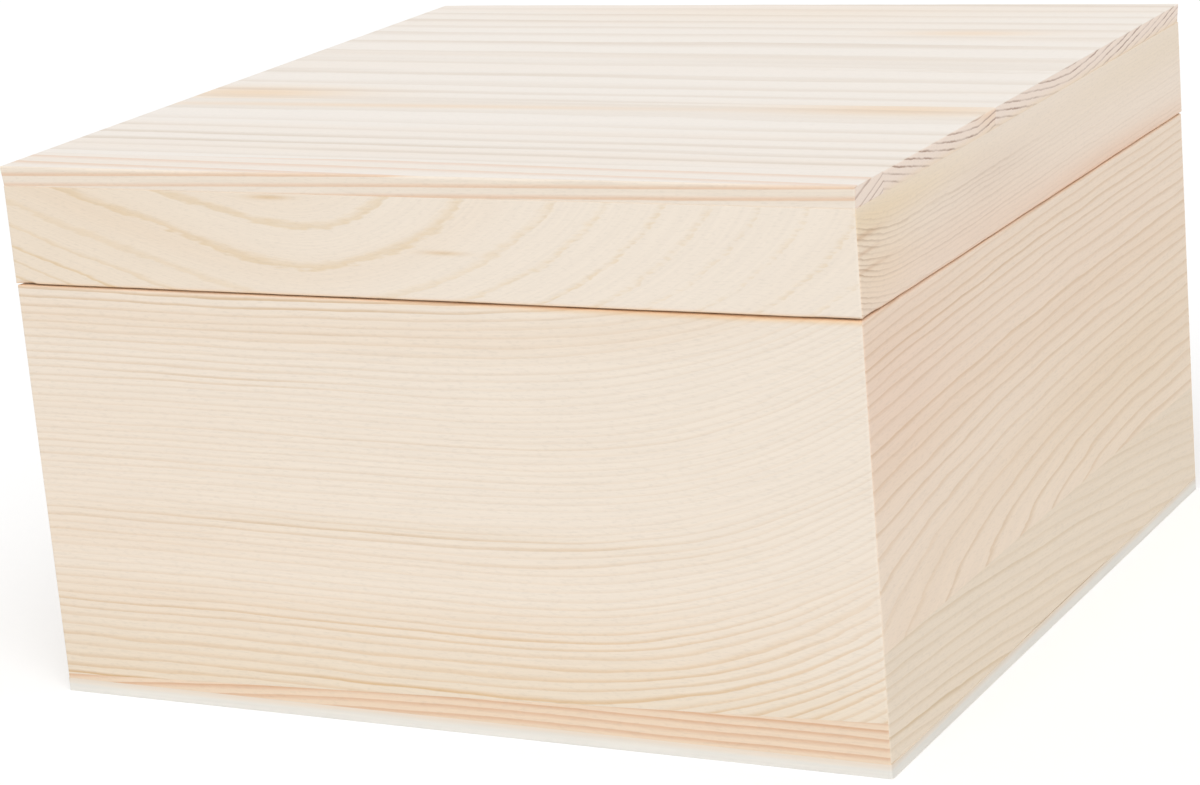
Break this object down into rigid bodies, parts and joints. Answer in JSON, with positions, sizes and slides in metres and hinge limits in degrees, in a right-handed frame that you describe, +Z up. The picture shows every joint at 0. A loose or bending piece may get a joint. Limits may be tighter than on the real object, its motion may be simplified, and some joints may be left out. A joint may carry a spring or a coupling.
{
  "type": "wooden box with lid",
  "caption": "Plain softwood keepsake box with mitred sides, a thin base and a shallow lid that swings back on butt hinges.",
  "frame": {"origin": "centre of the base's underside, under the middle of the case", "axes": "+X to the right along the front, +Y towards the hinged back, +Z up"},
  "size_m": [0.2, 0.1981, 0.12],
  "materials": {
    "case_wood": "raw sanded softwood",
    "rail_wood": "raw sanded softwood",
    "top_wood": "raw sanded softwood, paler",
    "base_sheet": "raw thin plywood",
    "hinge_brass": "plated, satin",
    "hinge_pin": "drawn wire"
  },
  "bodies": {
    "case": {"base_panel": "base_sheet", "front_board": "case_wood", "front_lower_stave": "case_wood", "right_board": "case_wood", "right_lower_stave": "case_wood", "left_board": "case_wood", "back_board": "case_wood", "left_hinge_case_leaf": "hinge_brass", "right_hinge_case_leaf": "hinge_brass", "left_hinge_pin": "hinge_pin", "right_hinge_pin": "hinge_pin", "case_hinge_screws": "hinge_brass"},
    "lid": {"top_front_stave": "top_wood", "top_middle_stave": "top_wood", "top_back_stave": "top_wood", "lid_front_rail": "rail_wood", "lid_back_rail": "rail_wood", "lid_left_rail": "rail_wood", "lid_right_rail": "rail_wood", "left_hinge_lid_leaf": "hinge_brass", "right_hinge_lid_leaf": "hinge_brass", "lid_hinge_screws": "hinge_brass"}
  },
  "joints": [
    {"name": "lid_hinge", "type": "hinge", "parent": "case", "child": "lid", "pos_m": [0, 0.0991, 0.0939], "axis": [-1, 0, 0], "range_deg": [0, 180]}
  ]
}
